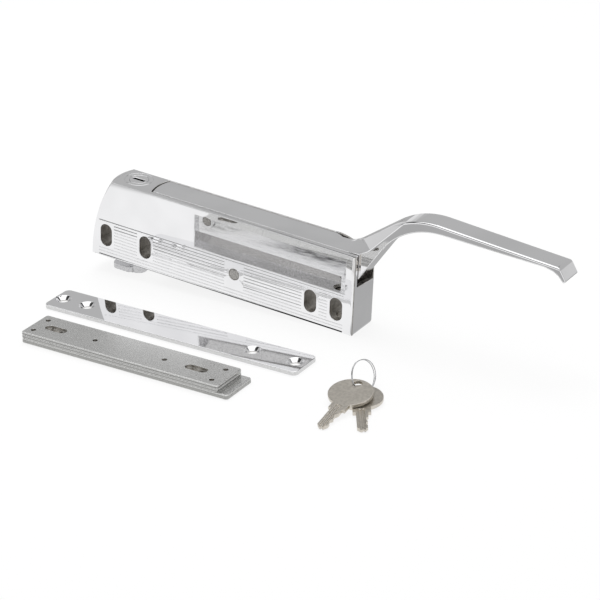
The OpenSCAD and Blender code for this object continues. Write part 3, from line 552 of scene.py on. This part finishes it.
corner_check = latch_mm((BODY_LENGTH / 1000.0 - ROW_ORIGIN_X / 1000.0, 0.0, 0.0))
print("the touching corner in the latch's axes:", [round(v, 3) for v in corner_check])

# %% [markdown]
# The finishing pass takes a copy of a solid, merges its loose triangles into
# real faces, and rounds chosen edges with a Bevel modifier, as tumbling or
# polishing does before plating. Only edges with a weight are rounded: a weight
# of 1 gets the full radius and 0.5 gets half. Hardened normals keep the flats
# flat, so that they mirror like a flat. The copy then stands for the solid.

# %% Finished copies of the solids
MERGE_DISTANCE = 2e-6
FLAT_ANGLE = math.radians(0.4)
SHARP_ANGLE = math.radians(30.0)
FLAT_SHARE = 90
USUAL_STEPS = 3
OWN_SKIN = -1


def merged_copy(node, name):
    """A copy of that node's mesh with shared corners and flat faces joined."""
    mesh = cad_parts[node].data.copy()
    mesh.name = name
    mesh.materials.clear()
    work = bmesh.new()
    work.from_mesh(mesh)
    bmesh.ops.remove_doubles(work, verts=work.verts, dist=MERGE_DISTANCE)
    bmesh.ops.dissolve_limit(
        work,
        angle_limit=FLAT_ANGLE,
        verts=work.verts,
        edges=work.edges,
        use_dissolve_boundaries=False,
    )
    return mesh, work


def every_edge(edge):
    """Full weight for every sharp edge."""
    return 1.0


def round_edges(piece, radius_mm, steps, rim_skin):
    """A live Bevel on the weighted edges, whose rims wear that skin."""
    bevel = piece.modifiers.new("rounded", "BEVEL")
    bevel.width = radius_mm / 1000.0
    bevel.segments = steps
    bevel.limit_method = "WEIGHT"
    bevel.use_clamp_overlap = False
    bevel.harden_normals = True
    bevel.face_strength_mode = "FSTR_ALL"
    bevel.miter_outer = "MITER_ARC"
    bevel.material = rim_skin


def keep_flats(piece):
    """A live Weighted Normal modifier, led by the faces that aren't rims."""
    flats = piece.modifiers.new("true_flats", "WEIGHTED_NORMAL")
    flats.keep_sharp = True
    flats.weight = FLAT_SHARE
    flats.use_face_influence = True


def finished(
    node, name, body, slot, materials, radius_mm,
    weigh=every_edge, steps=USUAL_STEPS, choose_face=None, rim_skin=OWN_SKIN,
):
    """A copy of that node with rounded edges, riding on its body."""
    mesh, work = merged_copy(node, name)
    weights = work.edges.layers.float.new("bevel_weight_edge")
    rounded_edges = 0
    for edge in work.edges:
        if len(edge.link_faces) == 2 and edge.calc_face_angle(0.0) > SHARP_ANGLE:
            edge[weights] = weigh(edge)
            rounded_edges += edge[weights] > 0
    for face in work.faces:
        face.smooth = True
        face.material_index = choose_face(face) if choose_face else 0
    work.to_mesh(mesh)
    work.free()
    for material in materials:
        mesh.materials.append(material)
    mesh.set_sharp_from_angle(angle=SHARP_ANGLE)
    piece = bpy.data.objects.new(name, mesh)
    bpy.context.scene.collection.objects.link(piece)
    if radius_mm > 0:
        round_edges(piece, radius_mm, steps, rim_skin)
    keep_flats(piece)
    graph = bpy.context.evaluated_depsgraph_get()
    dressed = bpy.data.meshes.new_from_object(piece.evaluated_get(graph))
    piece.modifiers.clear()
    piece.data = dressed
    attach(piece, body)
    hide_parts(node)
    grown = f"faces {len(mesh.polygons)} to {len(dressed.polygons)}"
    print(name, "rounded edges", rounded_edges, grown)
    return piece


# %% [markdown]
# The casting has four skins: polished outside, a wrinkled one in the finger
# pocket, a duller one on the pocket's slanted underside, darker with painted
# shade, and a rough one inside, which shows through the four slots and is
# darker with painted shade too. Its outline is rounded most, the rims of holes
# less, and the serrations of the grooved face stay crisp.

# %% The casting
# Places and radii on the latch's own axes, in millimetres, as in the solids.
SLOT_X = (10.4, 35.4, 137.0, 152.2)
SLOT_HALF_WIDTH = 3.6
SLOT_LOW, SLOT_HIGH = 6.15, 18.65
MAGNET_PIN, MAGNET_PIN_R = (91.0, 13.5), 3.0
LEVER_PIN, BOSS_R, BOSS_DEPTH = (73.3, 38.2), 4.1, 1.0
POCKET_FLOOR = 22.2
BAY_LEFT = 30.0

# How near, in millimetres, a point counts as lying on a face or a round wall.
ON_FACE = 0.05
ON_BORE = 0.06
ON_SLOT = 0.08

# Ranges along, across and up that hold the pocket's walls and the inner walls.
POCKET_WALLS = ((66.2, 157.2), (0.12, 9.0), (POCKET_FLOOR - 0.2, 40.4))
INNER_WALLS = (
    (-1.0, BODY_LENGTH - ON_FACE),
    (0.6, BODY_WIDTH - 0.1),
    (ON_FACE, BODY_HEIGHT - 0.1),
)
FACES_UP = 0.8
LEANS = 0.2

CASTING_RADIUS_MM = 0.6
SLOT_RIM = 0.4
TOP_RIM = 0.45
PIN_RIM = 0.8
POCKET_RIM = 0.5
GRIP_END = 0.6
CHROME_SKIN, POCKET_SKIN, SLANT_PAINTED_SHADE, INSIDE_PAINTED_SHADE = range(4)


def on_front(point):
    """Whether that point lies in the latch's front face."""
    return point[1] < ON_FACE


def on_back(point):
    """Whether that point lies in the latch's back face."""
    return point[1] > BODY_WIDTH - ON_FACE


def on_top(point):
    """Whether that point lies in the latch's top face, or above it."""
    return point[2] > BODY_HEIGHT - ON_FACE


def from_axis(point, axis):
    """Distance of that point from an axis that runs across the latch."""
    return math.dist((point[0], point[2]), axis)


def within(point, ranges):
    """Whether that point lies inside those ranges."""
    return all(low < value < high for value, (low, high) in zip(point, ranges))


def slot_distance(point):
    """Distance in the front face from the middle line of the nearest slot."""
    low, high = SLOT_LOW + SLOT_HALF_WIDTH, SLOT_HIGH - SLOT_HALF_WIDTH
    height = min(max(point[2], low), high)
    return min(math.hypot(point[0] - x, point[2] - height) for x in SLOT_X)


def on_slot(point):
    """Whether that point lies on the front rim of a slot."""
    return on_front(point) and abs(slot_distance(point) - SLOT_HALF_WIDTH) < ON_SLOT


def on_boss(point):
    """Whether that point lies on the low boss round the lever's pin."""
    return point[1] < BOSS_DEPTH and from_axis(point, LEVER_PIN) < BOSS_R + ON_BORE


def casting_weight(edge):
    """Full rounding on the outline, less on rims, none on the serrations."""
    points = [latch_mm(v.co) for v in edge.verts]
    in_front = all(on_front(p) for p in points)
    if all(on_slot(p) for p in points):
        return SLOT_RIM
    if all(on_top(p) for p in points):
        return 1.0 if all(on_front(p) or on_back(p) for p in points) else TOP_RIM
    if all(abs(from_axis(p, MAGNET_PIN) - MAGNET_PIN_R) < ON_BORE for p in points):
        return PIN_RIM if in_front else 0.0
    if all(on_boss(p) for p in points):
        return PIN_RIM
    if in_front and all(p[2] > POCKET_FLOOR - ON_FACE for p in points):
        return POCKET_RIM
    if in_front:
        return 1.0 if all(p[2] < ON_FACE for p in points) else 0.0
    return GRIP_END if all(p[0] > BODY_LENGTH - ON_FACE for p in points) else 0.0


def casting_skin(face):
    """Which skin that face of the casting wears."""
    spot = latch_mm(face.calc_center_median())
    if within(spot, POCKET_WALLS) and face.normal.y < LEANS:
        if face.normal.z > FACES_UP:
            return CHROME_SKIN
        # Faces that lean down in the pocket get the duller skin, darker with painted shade.
        return SLANT_PAINTED_SHADE if face.normal.z < -LEANS else POCKET_SKIN
    if within(spot, INNER_WALLS):
        # Inner walls and the slots' sides get the rough skin, darker with painted shade.
        if slot_distance(spot) < SLOT_HALF_WIDTH + ON_FACE or spot[0] > BAY_LEFT:
            return INSIDE_PAINTED_SHADE
    return CHROME_SKIN


casting = finished(
    "housing", "latch_casting", "latch_case", "chrome_plated",
    (chrome, pocket_skin, duller_underside_painted_shade, rough_inside_painted_shade), CASTING_RADIUS_MM,
    casting_weight, choose_face=casting_skin,
)
for skin in (CHROME_SKIN, POCKET_SKIN, SLANT_PAINTED_SHADE, INSIDE_PAINTED_SHADE):
    skin_faces = [f for f in casting.data.polygons if f.material_index == skin]
    print("skin", skin, "faces", len(skin_faces))

# %% [markdown]
# The lever's handle is a polished bar with generous roundings, and its cover
# plate has a crisp edge that leaves a dark line where it meets the casting.

# %% The lever
LEVER_RADIUS_MM = 1.2
LEVER_STEPS = 6
HANDLE_START = 149.0
NECK_LOW = 30.0
FIRST_RISE = 0.15
FULL_ROUND_RISE = 9.0
LOWER_SHARE = 0.5
NECK_WEIGHT = 0.4
COVER_WEIGHT = 0.2

# Height of the middle of the handle's side, at places along the latch.
HANDLE_PROFILE = (
    (149.0, 43.0), (162.0, 41.5), (168.0, 44.6), (177.0, 56.4), (183.0, 61.8),
    (188.0, 66.2), (197.0, 69.4), (206.0, 70.1), (285.0, 66.0),
)


def handle_middle(x):
    """Height of the middle of the handle's side, along the latch."""
    for (x0, z0), (x1, z1) in zip(HANDLE_PROFILE, HANDLE_PROFILE[1:]):
        if x <= x1:
            return z0 + (z1 - z0) * (x - x0) / (x1 - x0)
    return HANDLE_PROFILE[-1][1]


def lever_weight(edge):
    """Rounded handle, less so below, and a crisp cover plate."""
    points = [latch_mm(v.co) for v in edge.verts]
    past_start = all(p[0] > HANDLE_START for p in points)
    above_case = all(on_top(p) for p in points)
    if past_start and above_case:
        upper = all(p[2] > handle_middle(p[0]) for p in points)
        height = min(p[2] for p in points) - BODY_HEIGHT
        rise = min(1.0, FIRST_RISE + height / FULL_ROUND_RISE)
        return rise if upper else LOWER_SHARE * rise
    if past_start and all(p[2] > NECK_LOW for p in points):
        return NECK_WEIGHT
    return COVER_WEIGHT if above_case else 0.0


finished(
    "lever", "lever_casting", "lever_arm", "chrome_plated", (chrome,),
    LEVER_RADIUS_MM, lever_weight, LEVER_STEPS,
)

# %% [markdown]
# The loose plates are stamped, so every edge is a little round. The chrome one
# is a true mirror. The three zinc ones lie on each other with a fine dark line
# between them, which their rounded edges and their darkened sides make. A
# plate's sides are sheared and duller than its flats, so they wear a finish of
# their own. On the zinc plates, that finish is also painted shade, dark enough
# to draw the lines between the plates. The walls of the holes wear the inside
# skin, darker with painted shade.

# %% Plates
HOLE_INSET = 0.0012
HOLE_WEIGHT = 0.3
LIES_FLAT = 0.3
FLAT_SKIN, HOLE_PAINTED_SHADE, SIDE_SKIN = range(3)


def in_hole(point, low, high):
    """Whether that point of a plate's edge is in a hole, not on the outline."""
    return all(low[i] + HOLE_INSET < point[i] < high[i] - HOLE_INSET for i in (0, 1))


def plate_skin(node):
    """A chooser of skins: the flats, the holes' walls, darker with painted shade, and the outer
    sides.
    """
    low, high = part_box(node)

    def choose(face):
        if abs(face.normal.z) > LIES_FLAT:
            return FLAT_SKIN
        # The walls of holes wear the inside skin, darker with painted shade.
        return HOLE_PAINTED_SHADE if in_hole(face.calc_center_median(), low, high) else SIDE_SKIN

    return choose


def plate_weight(node):
    """Full rounding on a plate's outline and a little on its holes."""
    low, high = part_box(node)

    def weigh(edge):
        return HOLE_WEIGHT if all(in_hole(v.co, low, high) for v in edge.verts) else 1.0

    return weigh


# Node, piece, body, slot, the flats' finish, the sides' finish, rounding in mm.
PLATES = (
    ("strike_plate", "strike_plate_polished", "strike", "chrome_plated", mirror, cut_edge, 0.4),
    ("armature_plate", "armature_top", "armature", "zinc_plated", zinc, zinc_side_painted_shade, 0.5),
    ("spacer_shim", "armature_shim", "shim", "zinc_plated", zinc, zinc_side_painted_shade, 0.4),
    ("base_plate", "armature_base", "base", "zinc_plated", zinc, zinc_side_painted_shade, 0.5),
)
for node, name, body, slot, flat, side, radius_mm in PLATES:
    finished(
        node, name, body, slot, (flat, rough_inside_painted_shade, side), radius_mm,
        plate_weight(node), choose_face=plate_skin(node), rim_skin=FLAT_SKIN,
    )

# %% [markdown]
# Keys are blanked from sheet too, and handling wears their edges. The pins have
# domed ends. The lock's barrel and plug are rounded at their top rims alone, so
# that the plug still fills the barrel's bore.

# %% Keys, pins and lock
TOP_MARGIN = 0.1


def top_rim(edge):
    """Full weight on edges that lie in the latch's top face."""
    in_top = all(latch_mm(v.co)[2] > BODY_HEIGHT - TOP_MARGIN for v in edge.verts)
    return 1.0 if in_top else 0.0


# Node, piece, body, slot, finish, rounding in mm, which edges are rounded.
SMALL_PIECES = (
    ("key_front", "front_key_blank", "front_key", "nickel", nickel, 0.2, every_edge),
    ("key_back", "back_key_blank", "back_key", "nickel", nickel, 0.2, every_edge),
    ("lever_pin", "lever_pin_ends", "latch_case", "steel", dark_steel, 0.6, every_edge),
    ("magnet_pin", "magnet_pin_ends", "latch_case", "steel", dark_steel, 0.6, every_edge),
    ("lock_barrel", "lock_barrel_rim", "latch_case", "chrome_plated", chrome, 0.35, top_rim),
    ("lock_plug", "lock_plug_face", "lock_rotor", "chrome_plated", chrome, 0.2, top_rim),
    ("lock_cam", "lock_cam_tongue", "lock_rotor", "zinc_plated", steel, 0.4, every_edge),
)
for node, name, body, slot, skin, radius_mm, weigh in SMALL_PIECES:
    finished(node, name, body, slot, (skin,), radius_mm, weigh)

# %% [markdown]
# The return spring stands under the lever's left arm. It is copied without
# rounding, onto a mesh of its own.

# %% Return spring
UNROUNDED = 0.0
spring = finished(
    "return_spring", "return_spring_wire", "latch_case", "steel", (steel,), UNROUNDED
)
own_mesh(spring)

# %% [markdown]
# The key ring is a split ring: one springy wire wound round twice, its ends
# loose. A wire that follows a path is work for Geometry Nodes. The tree lays
# points along a flat coil, lets the outer turn stand off a little, and sweeps
# a circle along them.

# %% Coiled wire tree
TURN = 2.0 * math.pi
WIRE_POINTS = 220
WIRE_SIDES = 12
FLOAT_SIZES = ("Radius", "Turns", "Pitch", "Stand Off", "Start Angle", "Wire Radius")


def coil_tree():
    """A tree that makes a coil of wire from named sizes, and its sockets."""
    tree = bpy.data.node_groups.new("coiled_wire", "GeometryNodeTree")
    kinds = [(label, "NodeSocketFloat") for label in FLOAT_SIZES]
    sockets = {}
    for label, kind in kinds + [("Material", "NodeSocketMaterial")]:
        socket = tree.interface.new_socket(label, in_out="INPUT", socket_type=kind)
        sockets[label] = socket.identifier
    tree.interface.new_socket("Geometry", in_out="OUTPUT", socket_type="NodeSocketGeometry")
    given = tree.nodes.new("NodeGroupInput")
    result = tree.nodes.new("NodeGroupOutput")

    def calc(operation, first, second=0.0):
        return math_node(tree, operation, first, second)

    line = tree.nodes.new("GeometryNodeCurvePrimitiveLine")
    dense = tree.nodes.new("GeometryNodeResampleCurve")
    dense.inputs["Count"].default_value = WIRE_POINTS
    tree.links.new(line.outputs["Curve"], dense.inputs["Curve"])
    along = tree.nodes.new("GeometryNodeSplineParameter").outputs["Factor"]
    wound = calc("MULTIPLY", calc("MULTIPLY", along, given.outputs["Turns"]), TURN)
    angle = calc("ADD", wound, given.outputs["Start Angle"])
    side = calc("MAXIMUM", calc("COSINE", angle), 0.0)
    second_turn = calc("MAXIMUM", calc("SUBTRACT", along, 0.5), 0.0)
    bulge = calc("MULTIPLY", calc("MULTIPLY", side, side), second_turn)
    spread = calc("MULTIPLY", bulge, 2.0)
    stands_off = calc("MULTIPLY", spread, given.outputs["Stand Off"])
    reach = calc("ADD", given.outputs["Radius"], stands_off)
    spot = tree.nodes.new("ShaderNodeCombineXYZ")
    tree.links.new(calc("MULTIPLY", reach, calc("COSINE", angle)), spot.inputs["X"])
    tree.links.new(calc("MULTIPLY", reach, calc("SINE", angle)), spot.inputs["Y"])
    centred = calc("MULTIPLY", calc("SUBTRACT", along, 0.5), given.outputs["Turns"])
    tree.links.new(calc("MULTIPLY", centred, given.outputs["Pitch"]), spot.inputs["Z"])
    bend = tree.nodes.new("GeometryNodeSetPosition")
    tree.links.new(dense.outputs["Curve"], bend.inputs["Geometry"])
    tree.links.new(spot.outputs["Vector"], bend.inputs["Position"])
    section = tree.nodes.new("GeometryNodeCurvePrimitiveCircle")
    section.inputs["Resolution"].default_value = WIRE_SIDES
    tree.links.new(given.outputs["Wire Radius"], section.inputs["Radius"])
    sweep = tree.nodes.new("GeometryNodeCurveToMesh")
    sweep.inputs["Fill Caps"].default_value = True
    tree.links.new(bend.outputs["Geometry"], sweep.inputs["Curve"])
    tree.links.new(section.outputs["Curve"], sweep.inputs["Profile Curve"])
    real = tree.nodes.new("GeometryNodeRealizeInstances")
    tree.links.new(sweep.outputs["Mesh"], real.inputs["Geometry"])
    paint = tree.nodes.new("GeometryNodeSetMaterial")
    tree.links.new(real.outputs["Geometry"], paint.inputs["Geometry"])
    tree.links.new(given.outputs["Material"], paint.inputs["Material"])
    tree.links.new(paint.outputs["Geometry"], result.inputs["Geometry"])
    return tree, sockets


def from_tree(name, tree, sockets, values):
    """A plain mesh object made by that tree with those named values."""
    piece = bpy.data.objects.new(name, bpy.data.meshes.new(name))
    bpy.context.scene.collection.objects.link(piece)
    maker = piece.modifiers.new("maker", "NODES")
    maker.node_group = tree
    for label, value in values.items():
        maker[sockets[label]] = value
    graph = bpy.context.evaluated_depsgraph_get()
    made = bpy.data.meshes.new_from_object(piece.evaluated_get(graph))
    piece.modifiers.clear()
    piece.data = made
    return piece


wire_tree, wire_sockets = coil_tree()
print("coil tree nodes:", len(wire_tree.nodes))

# %% [markdown]
# The ring leans against the keys, through both bows. Its place and lean are
# the solid's own, so the two turns of wire lie where the solid ring is.

# %% Split ring
RING_RADIUS = 0.0078
RING_SECTION = 0.00045
RING_TURNS = 1.93
RING_STAND_OFF = 0.0009
RING_START = math.radians(100.0)
STRAND_RADIUS = 0.00022
STRAND_GAP = 0.00001
RING_CENTRE_MM = (196.9, -46.4)
RING_TURN = math.radians(82.3)
RING_LEAN = math.radians(20.3)
ring_sizes = {
    "Radius": RING_RADIUS,
    "Turns": RING_TURNS,
    "Pitch": 2.0 * STRAND_RADIUS + STRAND_GAP,
    "Stand Off": RING_STAND_OFF,
    "Start Angle": RING_START,
    "Wire Radius": STRAND_RADIUS,
    "Material": steel,
}
ring = from_tree("split_ring", wire_tree, wire_sockets, ring_sizes)
ring_centre = Vector(
    (
        (RING_CENTRE_MM[0] - ROW_ORIGIN_X) / 1000.0,
        (RING_CENTRE_MM[1] - ROW_ORIGIN_Y) / 1000.0,
        RING_SECTION + RING_RADIUS * math.cos(RING_LEAN),
    )
)
tipped = Matrix.Rotation(math.pi / 2 - RING_LEAN, 4, "X")
stand = Matrix.Rotation(RING_TURN, 4, "Z") @ tipped
ring.data.transform(Matrix.Translation(ring_centre) @ stand)
for face in ring.data.polygons:
    face.use_smooth = True
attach(ring, "ring")
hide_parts("key_ring")
low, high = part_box("key_ring")
print("ring solid spans", [round((b - a) * 1000, 1) for a, b in zip(low, high)], "mm")

# %% [markdown]
# The remaining solids sit inside the case or under it, where little of them
# shows. They keep their own meshes and only take a finish.

# %% Finish of the other solids
PLAIN_NODES = {
    "rest_bumper": rubber,
    "kick_pad": rubber,
    "magnet_block": ferrite,
    "pole_plate_front": zinc,
    "pole_plate_rear": zinc,
    "pack_rivets": brass,
    "magnet_bush": brass,
    "lock_wafers": brass,
    "cam_screw": steel,
    "lock_clip": steel,
}
for node, material in PLAIN_NODES.items():
    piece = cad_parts[node]
    if not piece.material_slots:
        piece.data.materials.append(material)
    for holder in piece.material_slots:
        holder.material = material
print("plain solids:", len(PLAIN_NODES))
